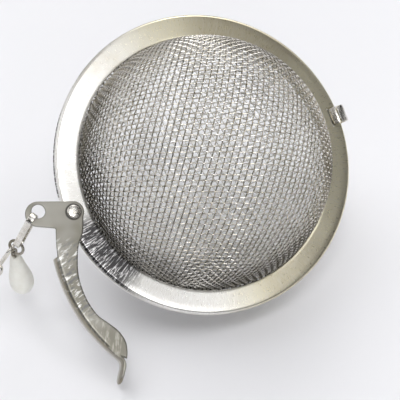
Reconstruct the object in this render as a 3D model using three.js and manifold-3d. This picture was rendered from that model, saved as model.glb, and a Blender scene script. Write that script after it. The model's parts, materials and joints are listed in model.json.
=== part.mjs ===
// Mesh tea infuser: two half balls of woven wire in folded steel rims, joined by a strap
// hinge and held shut by a latch lever, whose eye carries a link, a pendant and a chain.
// Millimetres, +Z up. It lies on a table, on its lower dome and on the tip of the lever's
// thumb tab, so the ball is built in a frame of its own and then leaned over.

import * as THREE from 'three';
import { mergeVertices } from 'three/addons/utils/BufferGeometryUtils.js';
import Module from 'manifold-3d';

const wasm = await Module();
wasm.setup();

// ---- driving dimensions -------------------------------------------------------------

const RIM_RADIUS = 30; // outer radius of both rims
const RIM_INNER_RADIUS = 25.4; // edge of the rim around the mesh
const RIM_HEIGHT = 1.2; // one folded rim
const RIM_SPLIT = 0.15; // half the gap between the two rims
const RIM_RETURN_RADIUS = 26.2; // edge of the turned-in sheet on the mating side
const SHEET = 0.25; // rim sheet
const ROUND_STEPS = 64; // facets round a rim

const DOME_RADIUS = 25.1; // outer face of the mesh at the rim
const DOME_RISE = 21.5; // crown above the mesh flange
const DOME_ROUNDNESS = 2.15; // exponent of the superellipse; 2 is an ellipse
const MESH_THICKNESS = 0.7; // over both layers of wire
const MESH_FLANGE_RADIUS = 27; // edge of the mesh inside the fold
const MESH_FLANGE_THICKNESS = 0.3; // flattened between the sheets
const DOME_STEPS = 9;
const DOME_ROUND_STEPS = 48;

const HINGE_LOOP_RADIUS = 1.6; // inside of the strap loop
const HINGE_STRAP_THICKNESS = 0.35;
const HINGE_STRAP_WIDTH = 3.4;
const HINGE_SLOT = { inner: 27.9, outer: 29.3, width: 4 };

const RIVET_RADIUS = 28.6; // from the ball's centre
const RIVET_TURN = 1; // degrees round the ball from straight opposite the hinge
const RIVET_SHANK = 0.6;
const RIVET_FOOT = 0.85; // spread end, hidden inside the rim's fold
const RIVET_HEAD = 1.3;
const RIVET_HEAD_HEIGHT = 0.5;

const LEVER_SHEET = 0.6;
const LEVER_LIFT = 0.22; // lever above the upper rim and below the lower one
const LEVER_OUTER_RADIUS = 32.8; // outer face of the channel wall when shut
const LEVER_PLATE_RADIUS = 32.1; // outer edge of the top plate beside the eye
const LEVER_WALL = { start: 195.9, end: 236.2 }; // degrees round the ball
const LEVER_BOTTOM = { start: 199, end: 234, inner: 29.2 };
const LEVER_EYE = { x: -6.66, y: -0.47, hole: 1.3 }; // from the rivet
const LEVER_END = { x: -6.72, y: -1, radius: 2.5 }; // round end of the plate past the eye
const LEVER_CORNER = { x: -3.1, y: -3.45 }; // where the plate turns down into the arm
const LEVER_BOSS_RADIUS = 2.1; // plate round the rivet
const TAB_LENGTH = 5;
const LEVER_OPEN = 25.5; // degrees that the lever stands open at rest

const LINK_WIDTH = 1.25; // strap link, a flat strip bent into a long loop
const LINK_THICKNESS = 0.35;
const LINK_LOOP_RADIUS = 1.05;
const LINK_LENGTH = 6.2; // between the centres of its two bends
const LINK_LEAN = 25; // degrees from hanging straight down

const RING_RADIUS = 1.5;
const RING_WIRE = 0.28;

const EYE_RADIUS = 0.68;
const EYE_WIRE = 0.22;
const EYE_STEM = 2.4;
const DROP_RADIUS = 2.6;
const DROP_LENGTH = 10;
const DROP_BORE = 0.5;

const CHAIN_LINKS = 10;
const CHAIN_WIRE = 0.3;
const CHAIN_END_RADIUS = 1.2;
const CHAIN_STRAIGHT = 4.4;
const CHAIN_PLAY = 0.2; // between two wires that pull on each other
const CHAIN_HANG = [60, 56, 46]; // degrees below level of the links that hang
const CHAIN_HEADING = 180; // degrees, along the table
const CHAIN_CURVE = { after: 4, until: 9, turn: 16 }; // links that the next one turns from, in degrees
const CHAIN_ROLL = 45; // degrees that every other link is rolled from lying flat
const FLOOR_CLEARANCE = 0.08;

const HOOK_WIRE = 0.5;
const HOOK_EYE_RADIUS = 1.5;
const HOOK_SHANK = 9;
const HOOK_BEND_RADIUS = 4;
const HOOK_REACH = 15; // from the link that it hangs on to its far bend

const REST = { yaw: 27.3, tilt: 38.1, roll: -1.9 }; // how the ball leans on the table

// ---- materials ------------------------------------------------------------------------

function metal(color, roughness) {
  return new THREE.MeshStandardMaterial({ color, roughness, metalness: 1 });
}

const rimSteel = () => metal(0xb9b6ab, 0.32);
const meshSteel = () => metal(0xa6a49d, 0.4);
const leverSteel = () => metal(0x9f9d98, 0.38);
const brightSteel = () => metal(0xd2cdc4, 0.22);
const milkyPlastic = () => new THREE.MeshStandardMaterial({ color: 0xe4e0d4, roughness: 0.4, metalness: 0 });

// ---- geometry helpers -----------------------------------------------------------------

const rad = THREE.MathUtils.degToRad;

function toSolid(geometry) {
  const bare = geometry.clone();
  bare.deleteAttribute('normal');
  bare.deleteAttribute('uv');
  const merged = mergeVertices(bare, 1e-5);
  return new wasm.Manifold(new wasm.Mesh({
    numProp: 3,
    vertProperties: new Float32Array(merged.attributes.position.array),
    triVerts: new Uint32Array(merged.index.array),
  }));
}

function toGeometry(solid) {
  const { vertProperties, triVerts } = solid.getMesh();
  const geometry = new THREE.BufferGeometry();
  geometry.setAttribute('position', new THREE.BufferAttribute(new Float32Array(vertProperties), 3));
  geometry.setIndex(new THREE.BufferAttribute(new Uint32Array(triVerts), 1));
  geometry.computeVertexNormals();
  return geometry;
}

// Joins the first group of geometries and cuts the second away from them.
function carve(joined, cuts = []) {
  let solid = joined.map(toSolid).reduce((a, b) => a.add(b));
  for (const cut of cuts) {
    solid = solid.subtract(toSolid(cut));
  }
  return toGeometry(solid);
}

// A profile of [radius, height] pairs turned round the Z axis.
function turned(profile, steps) {
  const points = profile.map(([r, z]) => new THREE.Vector2(r, z));
  return new THREE.LatheGeometry(points, steps).rotateX(Math.PI / 2);
}

// A flat outline in X and Y, with a thickness from low to high in Z.
function plate(shape, low, high, curveSegments = 12) {
  const settings = { depth: high - low, bevelEnabled: false, curveSegments };
  return new THREE.ExtrudeGeometry(shape, settings).translate(0, 0, low);
}

function cylinder(radius, low, high, x = 0, y = 0, steps = 24) {
  const height = high - low;
  return new THREE.CylinderGeometry(radius, radius, height, steps)
    .rotateX(Math.PI / 2)
    .translate(x, y, low + height / 2);
}

function arcPoints(cx, cy, radius, from, to, steps) {
  const points = [];
  for (let i = 0; i <= steps; i += 1) {
    const angle = rad(from + ((to - from) * i) / steps);
    points.push([cx + radius * Math.cos(angle), cy + radius * Math.sin(angle)]);
  }
  return points;
}

// A rod of round section along a curve.
function rod(curve, radius, steps, sides = 8) {
  const section = new THREE.Shape(arcPoints(0, 0, radius, 0, 360, sides)
    .slice(0, -1)
    .map(([x, y]) => new THREE.Vector2(x, y)));
  return new THREE.ExtrudeGeometry(section, { extrudePath: curve, steps, bevelEnabled: false });
}

// A wire ring in X and Y whose two halves stand apart along X by the straight length.
function oval(endRadius, wire, straight = 0, arcSteps = 20, sides = 6) {
  const geometry = new THREE.TorusGeometry(endRadius, wire, sides, arcSteps);
  const position = geometry.attributes.position;
  for (let i = 0; i < position.count; i += 1) {
    const x = position.getX(i);
    const share = THREE.MathUtils.clamp(x / (0.2 * endRadius), -1, 1);
    position.setX(i, x + (share * straight) / 2);
  }
  return geometry;
}

// A long loop of flat strip: its bends turn round X, at z = 0 and z = -length.
function stripLoop(radius, thickness, length, width) {
  const outline = (r) => [
    ...arcPoints(0, 0, r, 0, 180, 10),
    ...arcPoints(0, -length, r, 180, 360, 10),
  ].map(([y, z]) => new THREE.Vector2(y, z));
  const shape = new THREE.Shape(outline(radius + thickness));
  shape.holes.push(new THREE.Path(outline(radius)));
  const settings = { depth: width, bevelEnabled: false };
  const geometry = new THREE.ExtrudeGeometry(shape, settings).translate(0, 0, -width / 2);
  // the drawn X, Y and extruded Z become Y, Z and X
  return geometry.applyMatrix4(new THREE.Matrix4().set(0, 0, 1, 0, 1, 0, 0, 0, 0, 1, 0, 0, 0, 0, 0, 1));
}

function part(name, geometry, material) {
  const mesh = new THREE.Mesh(geometry, material);
  mesh.name = name;
  return mesh;
}

// Turns an object so that its X and Z axes lie along the two directions given.
function orient(object, x, z) {
  const zAxis = z.clone().normalize();
  const yAxis = new THREE.Vector3().crossVectors(zAxis, x).normalize();
  const xAxis = new THREE.Vector3().crossVectors(yAxis, zAxis);
  object.quaternion.setFromRotationMatrix(new THREE.Matrix4().makeBasis(xAxis, yAxis, zAxis));
  return object;
}

// ---- rims and mesh domes ----------------------------------------------------------------

const RIM_TOP = RIM_SPLIT + RIM_HEIGHT;
const FOLD_RADIUS = RIM_HEIGHT / 2;
const FOLD_CENTRE = { r: RIM_RADIUS - FOLD_RADIUS, z: RIM_SPLIT + FOLD_RADIUS };
const FLANGE_LOW = FOLD_CENTRE.z - MESH_FLANGE_THICKNESS / 2;
const FLANGE_HIGH = FOLD_CENTRE.z + MESH_FLANGE_THICKNESS / 2;

// Both halves are drawn as the upper one; the lower one is turned over about the hinge line.
const rimProfile = [
  [RIM_INNER_RADIUS, RIM_TOP - SHEET],
  ...arcPoints(FOLD_CENTRE.r, FOLD_CENTRE.z, FOLD_RADIUS - SHEET, 90, -90, 3),
  [RIM_RETURN_RADIUS, RIM_SPLIT + SHEET],
  [RIM_RETURN_RADIUS, RIM_SPLIT],
  ...arcPoints(FOLD_CENTRE.r, FOLD_CENTRE.z, FOLD_RADIUS, -90, 90, 4),
  [RIM_INNER_RADIUS, RIM_TOP],
  [RIM_INNER_RADIUS, RIM_TOP - SHEET],
];

function domeCurve(radius, base, rise) {
  const points = [];
  for (let i = 0; i <= DOME_STEPS; i += 1) {
    const angle = (Math.PI / 2) * (i / DOME_STEPS);
    const r = radius * Math.max(0, Math.cos(angle)) ** (2 / DOME_ROUNDNESS);
    const z = base + rise * Math.sin(angle) ** (2 / DOME_ROUNDNESS);
    points.push([i === DOME_STEPS ? 0 : r, z]);
  }
  return points;
}

const domeOuter = domeCurve(DOME_RADIUS, FLANGE_HIGH, DOME_RISE);
const domeInner = domeCurve(
  DOME_RADIUS - MESH_THICKNESS,
  FLANGE_LOW,
  DOME_RISE + MESH_FLANGE_THICKNESS - MESH_THICKNESS,
);
const domeProfile = [
  ...domeInner.reverse(),
  [MESH_FLANGE_RADIUS, FLANGE_LOW],
  [MESH_FLANGE_RADIUS, FLANGE_HIGH],
  ...domeOuter,
];

function rimBlank() {
  return turned(rimProfile, ROUND_STEPS);
}

function hingeSlot() {
  const depth = HINGE_SLOT.outer - HINGE_SLOT.inner;
  return new THREE.BoxGeometry(depth, HINGE_SLOT.width, 4 * RIM_HEIGHT)
    .translate(HINGE_SLOT.inner + depth / 2, 0, FOLD_CENTRE.z);
}

function upperRim() {
  const rivetHole = cylinder(RIVET_SHANK + 0.2, FOLD_CENTRE.z, RIM_TOP + 1, -RIVET_RADIUS)
    .rotateZ(rad(RIVET_TURN));
  return part('upper_rim', carve([rimBlank()], [hingeSlot(), rivetHole]), rimSteel());
}

function lowerRim() {
  const mesh = part('lower_rim', carve([rimBlank()], [hingeSlot()]), rimSteel());
  mesh.rotation.x = Math.PI;
  return mesh;
}

function dome(name) {
  return part(name, turned(domeProfile, DOME_ROUND_STEPS), meshSteel());
}

// ---- hinge strap and rivet ----------------------------------------------------------------

function hingeStrap() {
  const seam = 8; // degrees left open where the ends of the strap meet
  const from = -100 + seam / 2;
  const to = 260 - seam / 2;
  const outer = arcPoints(0, 0, HINGE_LOOP_RADIUS + HINGE_STRAP_THICKNESS, from, to, 26);
  const inner = arcPoints(0, 0, HINGE_LOOP_RADIUS, to, from, 26);
  const shape = new THREE.Shape([...outer, ...inner].map(([x, z]) => new THREE.Vector2(x, z)));
  const half = HINGE_STRAP_WIDTH / 2;
  const mesh = part('hinge_strap', plate(shape, -half, half).rotateX(Math.PI / 2), brightSteel());
  mesh.position.x = RIM_RADIUS;
  return mesh;
}

const LEVER_LOW = RIM_TOP + LEVER_LIFT;
const LEVER_TOP = LEVER_LOW + LEVER_SHEET;

function latchRivet() {
  const headLow = LEVER_TOP + 0.2;
  const foot = RIM_TOP - SHEET - 0.2;
  const mesh = part('latch_rivet', turned([
    [0, foot - 0.25],
    [RIVET_FOOT, foot - 0.25],
    [RIVET_FOOT, foot],
    [RIVET_SHANK, foot],
    [RIVET_SHANK, headLow],
    [RIVET_HEAD, headLow],
    [RIVET_HEAD, headLow + RIVET_HEAD_HEIGHT / 2],
    [RIVET_HEAD * 0.75, headLow + RIVET_HEAD_HEIGHT * 0.88],
    [0, headLow + RIVET_HEAD_HEIGHT],
  ], 24), brightSteel());
  mesh.position.x = -RIVET_RADIUS;
  return mesh;
}

// ---- latch lever --------------------------------------------------------------------------
// Drawn shut, with the rivet at the origin and the ball's centre at x = RIVET_RADIUS.

const LEVER_FLOOR_TOP = -RIM_TOP - LEVER_LIFT;
const LEVER_FLOOR = LEVER_FLOOR_TOP - LEVER_SHEET;

function roundBall(radius, degrees) {
  return new THREE.Vector2(
    RIVET_RADIUS + radius * Math.cos(rad(degrees)),
    radius * Math.sin(rad(degrees)),
  );
}

function ballArc(radius, from, to, steps) {
  return arcPoints(RIVET_RADIUS, 0, radius, from, to, steps).map(([x, y]) => new THREE.Vector2(x, y));
}

function leverTopPlate() {
  const shape = new THREE.Shape();
  const { x, y, radius } = LEVER_END;
  shape.moveTo(0, LEVER_BOSS_RADIUS);
  shape.absarc(0, 0, LEVER_BOSS_RADIUS, rad(90), rad(-20), true);
  // inner edge: it draws in towards the waist of the arm, then swells into a leaf
  shape.splineThru([
    roundBall(26.8, 188),
    roundBall(27.9, 193),
    roundBall(28.7, 198.6),
    roundBall(29.4, 204),
    roundBall(29.8, 209.7),
    roundBall(29.95, 215),
    roundBall(29.8, 220.5),
    roundBall(29, 225.5),
    roundBall(28.7, 230),
    roundBall(29.3, 234.4),
    roundBall(30.9, 237.2),
  ]);
  for (const point of ballArc(LEVER_OUTER_RADIUS, 237.2, LEVER_WALL.start, 16)) {
    shape.lineTo(point.x, point.y);
  }
  for (const point of ballArc(LEVER_PLATE_RADIUS, LEVER_WALL.start, 187, 4)) {
    shape.lineTo(point.x, point.y);
  }
  shape.lineTo(LEVER_CORNER.x, LEVER_CORNER.y);
  shape.lineTo(x, y - radius);
  shape.absarc(x, y, radius, rad(-90), rad(-264), true);
  return plate(shape, LEVER_LOW, LEVER_TOP);
}

// The channel wall follows the rim and turns out at its end into the thumb tab.
function leverWall() {
  const inner = LEVER_OUTER_RADIUS - LEVER_SHEET;
  const corner = roundBall(LEVER_OUTER_RADIUS, LEVER_WALL.end);
  const outward = new THREE.Vector2(-0.13, -1);
  const tip = roundBall(LEVER_OUTER_RADIUS - LEVER_SHEET / 2, LEVER_WALL.end + 2)
    .addScaledVector(outward, TAB_LENGTH);
  const half = LEVER_SHEET / 2;
  const shape = new THREE.Shape(ballArc(LEVER_OUTER_RADIUS, LEVER_WALL.start, LEVER_WALL.end - 1.2, 18));
  shape.quadraticCurveTo(corner.x + 0.1, corner.y - 0.1, tip.x - half, corner.y - 1.6);
  shape.lineTo(tip.x - half, tip.y + half);
  shape.absarc(tip.x, tip.y + half, half, rad(180), rad(360), false);
  shape.lineTo(tip.x + half, corner.y - 1.2);
  const bend = roundBall(inner, LEVER_WALL.end + 1.6);
  shape.quadraticCurveTo(tip.x + half, bend.y - 0.1, bend.x - 0.7, bend.y + 0.5);
  for (const point of ballArc(inner, LEVER_WALL.end - 0.6, LEVER_WALL.start, 18)) {
    shape.lineTo(point.x, point.y);
  }
  return plate(shape, LEVER_FLOOR, LEVER_TOP, 6);
}

function leverBottomPlate() {
  const { start, end, inner } = LEVER_BOTTOM;
  const shape = new THREE.Shape([
    ...ballArc(LEVER_OUTER_RADIUS - 0.05, start, end, 14),
    ...ballArc(inner, end, start, 14),
  ]);
  return plate(shape, LEVER_FLOOR, LEVER_FLOOR_TOP);
}

function latchLever() {
  const rivetHole = cylinder(RIVET_SHANK + 0.3, LEVER_LOW - 1, LEVER_TOP + 1);
  const eye = cylinder(LEVER_EYE.hole, LEVER_LOW - 1, LEVER_TOP + 1, LEVER_EYE.x, LEVER_EYE.y);
  const solids = [leverTopPlate(), leverWall(), leverBottomPlate()];
  const mesh = part('latch_lever', carve(solids, [rivetHole, eye]), leverSteel());
  mesh.position.x = -RIVET_RADIUS;
  mesh.rotation.z = -rad(LEVER_OPEN);
  return mesh;
}

// ---- the ball, leaning on the table ---------------------------------------------------------

const ball = new THREE.Group();
ball.rotation.set(rad(REST.tilt), rad(REST.roll), rad(REST.yaw), 'ZXY');
const lean = Math.acos(new THREE.Vector3(0, 0, 1).applyEuler(ball.rotation).z);
const restHeight = Math.max(...domeOuter.map(([r, z]) => r * Math.sin(lean) + z * Math.cos(lean)));
ball.position.z = restHeight + FLOOR_CLEARANCE;

const lever = latchLever();
const latch = new THREE.Group();
latch.rotation.z = rad(RIVET_TURN);
latch.add(latchRivet(), lever);
const lowerMesh = dome('lower_mesh');
lowerMesh.rotation.x = Math.PI;
ball.add(lowerRim(), lowerMesh, hingeStrap(), upperRim(), dome('upper_mesh'), latch);
ball.updateMatrixWorld(true);

// ---- strap link and ring, hanging from the lever's eye ----------------------------------------

const LAND_ANGLE = -125; // degrees from the eye to the strip of plate that the link hangs on
const landOut = new THREE.Vector3(Math.cos(rad(LAND_ANGLE)), Math.sin(rad(LAND_ANGLE)), 0);
const endFromEye = new THREE.Vector3(LEVER_END.x - LEVER_EYE.x, LEVER_END.y - LEVER_EYE.y, 0);
const endAlong = endFromEye.dot(landOut);
const landEdge = endAlong + Math.sqrt(LEVER_END.radius ** 2 - endFromEye.lengthSq() + endAlong ** 2);
const landRadius = (LEVER_EYE.hole + landEdge) / 2;
const landCentre = new THREE.Vector3(LEVER_EYE.x, LEVER_EYE.y, (LEVER_LOW + LEVER_TOP) / 2)
  .addScaledVector(landOut, landRadius);
const linkPivot = lever.localToWorld(landCentre.clone());
const landAcross = landOut.clone().transformDirection(lever.matrixWorld);

const linkDown = new THREE.Vector3(-Math.sin(rad(LINK_LEAN)), 0, -Math.cos(rad(LINK_LEAN)));
const linkUp = linkDown.clone().negate();
const linkAcross = new THREE.Vector3().crossVectors(landAcross, linkDown).normalize();

const strapLink = part(
  'strap_link',
  stripLoop(LINK_LOOP_RADIUS, LINK_THICKNESS, LINK_LENGTH, LINK_WIDTH),
  brightSteel(),
);
strapLink.position.copy(linkPivot);
orient(strapLink, linkAcross, linkUp);

const RING_SEAT = LINK_LENGTH + LINK_LOOP_RADIUS - CHAIN_PLAY - RING_WIRE;
const ringPivot = linkPivot.clone().addScaledVector(linkDown, RING_SEAT);
const ring = part(
  'connector_ring',
  oval(RING_RADIUS, RING_WIRE).rotateX(Math.PI / 2).translate(0, 0, -RING_RADIUS),
  brightSteel(),
);
ring.position.copy(ringPivot);
orient(ring, linkAcross, linkUp);
ring.updateMatrixWorld();

// Point on the ring's wire, and the wire's direction there, by angle from its lowest point.
function onRing(degrees) {
  const angle = rad(degrees);
  const point = new THREE.Vector3(Math.sin(angle), 0, -1 - Math.cos(angle)).multiplyScalar(RING_RADIUS);
  const along = new THREE.Vector3(Math.cos(angle), 0, Math.sin(angle));
  return { point: ring.localToWorld(point), along: along.transformDirection(ring.matrixWorld) };
}

// ---- pendant ----------------------------------------------------------------------------------

const PENDANT_SEAT = 4; // degrees from the ring's lowest point
const PENDANT_LEAN = 5;
const pendantTop = onRing(PENDANT_SEAT);
const pendantUp = new THREE.Vector3(-Math.sin(rad(PENDANT_LEAN)), 0, Math.cos(rad(PENDANT_LEAN)));
const eyeDrop = EYE_RADIUS + EYE_WIRE - 0.1;

function pendantEye() {
  const loop = oval(EYE_RADIUS, EYE_WIRE).rotateY(Math.PI / 2);
  const stem = cylinder(EYE_WIRE, -eyeDrop - EYE_STEM, -EYE_RADIUS, 0, 0, 10);
  return part('pendant_eye', carve([loop, stem]), brightSteel());
}

function pendantDrop() {
  const top = -eyeDrop - 0.3;
  const profile = [[0, top - DROP_LENGTH]];
  const steps = 14;
  for (let i = 1; i < steps; i += 1) {
    const share = i / steps;
    const swell = Math.sin(Math.PI * share ** 0.62) ** 0.8;
    const neck = 0.95 * share ** 3;
    profile.push([DROP_RADIUS * swell * (1 - 0.25 * share) + neck, top - DROP_LENGTH * (1 - share)]);
  }
  profile.push([1.05, top], [0, top]);
  const bore = cylinder(DROP_BORE, top - EYE_STEM - 0.2, top + 1, 0, 0, 12);
  return part('pendant_drop', carve([turned(profile, 28)], [bore]), milkyPlastic());
}

const pendant = new THREE.Group();
pendant.position.copy(pendantTop.point);
orient(pendant, pendantTop.along, pendantUp);
pendant.add(pendantEye(), pendantDrop());

// ---- chain and hook -----------------------------------------------------------------------------

const CHAIN_SEAT = -32; // where the chain hangs, in degrees from the ring's lowest point
const CHAIN_REACH = CHAIN_STRAIGHT + 2 * CHAIN_END_RADIUS;
const LYING_HEIGHT = CHAIN_END_RADIUS * Math.SQRT1_2 + CHAIN_WIRE + FLOOR_CLEARANCE;

// A link lies along X with the wire that it hangs on at its origin; its plane is X and Y.
function chainLink(name, heldWire) {
  const start = -(heldWire + CHAIN_PLAY + CHAIN_WIRE);
  const shape = oval(CHAIN_END_RADIUS, CHAIN_WIRE, CHAIN_STRAIGHT)
    .translate(start + CHAIN_REACH / 2, 0, 0);
  const mesh = part(name, shape, brightSteel());
  mesh.userData.reach = start + CHAIN_REACH;
  return mesh;
}

function direction(heading, below) {
  return new THREE.Vector3(
    Math.cos(rad(heading)) * Math.cos(rad(below)),
    Math.sin(rad(heading)) * Math.cos(rad(below)),
    -Math.sin(rad(below)),
  );
}

// Puts a piece at a point, along a direction, rolled about it from lying flat.
function lay(object, point, along, roll) {
  const side = new THREE.Vector3(0, 0, 1).cross(along).normalize();
  const normal = new THREE.Vector3().crossVectors(along, side).applyAxisAngle(along, rad(roll));
  object.position.copy(point);
  return orient(object, along, normal);
}

const chain = new THREE.Group();
const chainStart = onRing(CHAIN_SEAT);
const pivot = chainStart.point.clone();
let heading = CHAIN_HEADING;
for (let i = 0; i < CHAIN_LINKS; i += 1) {
  const link = chainLink(`chain_link_${i + 1}`, i === 0 ? RING_WIRE : CHAIN_WIRE);
  const reach = link.userData.reach;
  const sink = THREE.MathUtils.clamp((pivot.z - LYING_HEIGHT) / reach, 0, 1);
  const below = i < CHAIN_HANG.length ? CHAIN_HANG[i] : THREE.MathUtils.radToDeg(Math.asin(sink));
  const along = direction(heading, below);
  lay(link, pivot, along, i % 2 === 0 ? CHAIN_ROLL : CHAIN_ROLL - 90);
  if (i === 0) {
    orient(link, along, chainStart.along.clone().cross(along).cross(along).negate());
  }
  chain.add(link);
  pivot.addScaledVector(along, reach);
  heading += i + 1 >= CHAIN_CURVE.after && i + 1 <= CHAIN_CURVE.until ? CHAIN_CURVE.turn : 0;
}

function chainHook() {
  const eyeX = -(CHAIN_WIRE + CHAIN_PLAY + HOOK_WIRE) + HOOK_EYE_RADIUS;
  const shankEnd = eyeX + HOOK_EYE_RADIUS + HOOK_SHANK;
  const points = [
    ...arcPoints(eyeX, 0, HOOK_EYE_RADIUS, 35, 345, 9),
    [eyeX + HOOK_EYE_RADIUS + 1.6, -0.35],
    [eyeX + HOOK_EYE_RADIUS + HOOK_SHANK / 2, 0],
    [shankEnd - 1.2, 0],
    ...arcPoints(shankEnd, HOOK_BEND_RADIUS, HOOK_BEND_RADIUS, -80, 95, 7),
    [shankEnd - 2.6, 2 * HOOK_BEND_RADIUS - 0.35],
    [shankEnd - 4.4, 2 * HOOK_BEND_RADIUS + 0.4],
  ].map(([x, y]) => new THREE.Vector3(x, y, 0));
  return part('chain_hook', rod(new THREE.CatmullRomCurve3(points), HOOK_WIRE, 60), brightSteel());
}

const hook = chainHook();
const hookSlope = Math.asin((LYING_HEIGHT - HOOK_WIRE - FLOOR_CLEARANCE) / HOOK_REACH);
lay(hook, pivot, direction(heading - CHAIN_CURVE.turn, THREE.MathUtils.radToDeg(hookSlope)), 0);
chain.add(hook);

// ---- whole object, standing on its origin ----------------------------------------------------------

const infuser = new THREE.Group();
infuser.add(ball, strapLink, ring, pendant, chain);
const bounds = new THREE.Box3().setFromObject(infuser, true);
const middle = bounds.getCenter(new THREE.Vector3());
infuser.position.set(-middle.x, -middle.y, -bounds.min.z);

export default infuser;
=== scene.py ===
"""Looks for the mesh tea infuser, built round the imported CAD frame.

Every piece is made in millimetres in a frame of its own (the ball's, the lever's, the
link's and so on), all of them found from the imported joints, and then put in the row frame.
"""

import json
import math

import bmesh
import bpy
import numpy as np
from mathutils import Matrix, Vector


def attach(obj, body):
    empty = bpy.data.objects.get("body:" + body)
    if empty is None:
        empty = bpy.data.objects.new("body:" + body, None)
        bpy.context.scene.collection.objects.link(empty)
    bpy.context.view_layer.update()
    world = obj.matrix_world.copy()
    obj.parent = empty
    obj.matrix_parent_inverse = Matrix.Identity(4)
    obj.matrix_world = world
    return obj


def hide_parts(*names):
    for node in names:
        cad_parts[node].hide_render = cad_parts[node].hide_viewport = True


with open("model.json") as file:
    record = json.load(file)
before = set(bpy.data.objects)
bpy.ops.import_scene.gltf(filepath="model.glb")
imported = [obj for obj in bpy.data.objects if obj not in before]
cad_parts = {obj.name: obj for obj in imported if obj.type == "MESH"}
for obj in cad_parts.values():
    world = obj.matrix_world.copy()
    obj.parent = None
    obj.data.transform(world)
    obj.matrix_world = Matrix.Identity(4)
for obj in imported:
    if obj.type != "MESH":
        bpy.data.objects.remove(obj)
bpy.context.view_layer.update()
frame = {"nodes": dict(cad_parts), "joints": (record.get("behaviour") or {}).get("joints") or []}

MM = 0.001
JOINTS = {joint["name"]: joint for joint in frame["joints"]}

# ---- camera ----------------------------------------------------------------------------

CAMERA_FROM_BALL = (-0.00089, -0.20075, 0.19042)  # from the ball's centre
CAMERA_TILT = math.radians(45)
CAMERA_LENS = 126
CAMERA_SENSOR = 36

# ---- dimensions, in millimetres --------------------------------------------------------

RIM_RADIUS = 30.0
RIM_INNER_RADIUS = 25.4
RIM_RETURN_RADIUS = 26.2
RIM_SPLIT = 0.15
RIM_HEIGHT = 1.2
RIM_SHEET = 0.25
RIM_TOP = RIM_SPLIT + RIM_HEIGHT
FOLD_RADIUS = RIM_HEIGHT / 2
FOLD_Z = RIM_SPLIT + FOLD_RADIUS
RIM_STEPS = 360
HINGE_SLOT = (27.9, 29.3, 4.0)  # inner radius, outer radius, width

WIRE_RADIUS = 0.125
DOME_RADIUS = 25.1 - 2 * WIRE_RADIUS  # middle of the two layers of wire
DOME_RISE = 21.5 + 0.15 - 2 * WIRE_RADIUS
DOME_ROUNDNESS = 2.15
MESH_EDGE_RADIUS = 27.0

RIVET_RADIUS = 28.6
RIVET_TURN = math.radians(1)
RIVET_HOLE = 0.8  # radius of the hole in the rim
LEVER_OPEN = math.radians(25.5)
LEVER_SHEET = 0.6
LEVER_LOW = RIM_TOP + 0.22
LEVER_TOP = LEVER_LOW + LEVER_SHEET


def way(degrees):
    """A direction across the ball's axis."""
    return (math.cos(math.radians(degrees)), math.sin(math.radians(degrees)), 0.0)


RUBBED_PAINTED_DARK_WAY = way(201.5)  # middle of the stretch marked by rubbing, painted dark with pale streaks
PAINTED_LIGHT_WAY = way(195)  # middle of the half of the rim with painted light
WARM_SHADE_WAY = way(2)  # middle of the side of the rim with warm painted shade
DARKEST_SHADE_WAY = way(52)  # its darkest painted shade
DULL_SHADE_WAY = way(290)  # a stretch with duller painted shade
EDGE_SHADE_WAY = way(222)  # where the painted shade on the upper mesh's edge is darkest
SHADY_WAY = way(140)  # the lower cup's side with painted shade, in its own frame

# ---- frames ----------------------------------------------------------------------------


class Place:
    """A frame in row coordinates: an origin in metres and three unit axes."""

    def __init__(self, origin, x, z):
        self.origin = np.array(origin, float)
        z = np.array(z, float) / np.linalg.norm(z)
        y = np.cross(z, x)
        y /= np.linalg.norm(y)
        self.axes = np.array([np.cross(y, z), y, z])

    def out(self, points):
        """Local millimetres to row metres."""
        return self.origin + (np.asarray(points, float) * MM) @ self.axes

    def turned_over(self):
        return Place(self.origin, self.axes[0], -self.axes[2])

    def moved(self, x=0.0, y=0.0, z=0.0):
        return Place(self.out([(x, y, z)])[0], self.axes[0], self.axes[2])

    def turned(self, angle):
        x = math.cos(angle) * self.axes[0] + math.sin(angle) * self.axes[1]
        return Place(self.origin, x, self.axes[2])


def joint_axis(name):
    return np.array(JOINTS[name]["axis"], float)


def joint_point(name):
    return np.array(JOINTS[name]["pos_m"], float)


BALL_Z = -joint_axis("latch_pivot")
BALL_X = np.cross(joint_axis("lid_hinge"), BALL_Z)
BALL = Place(joint_point("lid_hinge") - RIM_RADIUS * MM * BALL_X, BALL_X, BALL_Z)
LOWER = BALL.turned_over()
RIVET = BALL.turned(RIVET_TURN).moved(x=-RIVET_RADIUS)
LEVER = RIVET.turned(-LEVER_OPEN)

camera = bpy.data.objects.new("camera", bpy.data.cameras.new("camera"))
bpy.context.scene.collection.objects.link(camera)
camera.location = BALL.origin + np.array(CAMERA_FROM_BALL)
camera.rotation_euler = (CAMERA_TILT, 0, 0)
camera.data.sensor_width = CAMERA_SENSOR
camera.data.lens = CAMERA_LENS
bpy.context.scene.camera = camera

# ---- mesh helpers ----------------------------------------------------------------------


def new_object(name, points, faces):
    mesh = bpy.data.meshes.new(name)
    mesh.from_pydata([tuple(p) for p in points], [], faces)
    mesh.update()
    made = bpy.data.objects.new(name, mesh)
    bpy.context.scene.collection.objects.link(made)
    return made


def modify(thing, kind, **settings):
    """Adds one modifier, applies it and leaves a plain mesh."""
    modifier = thing.modifiers.new(kind, kind)
    for key, value in settings.items():
        setattr(modifier, key, value)
    graph = bpy.context.evaluated_depsgraph_get()
    mesh = bpy.data.meshes.new_from_object(thing.evaluated_get(graph))
    thing.modifiers.clear()
    old = thing.data
    thing.data = mesh
    bpy.data.meshes.remove(old)
    return thing


def cut(thing, *cutters):
    for cutter in cutters:
        modify(thing, "BOOLEAN", object=cutter, operation="DIFFERENCE", solver="EXACT")
        bpy.data.objects.remove(cutter)
    return thing


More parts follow.
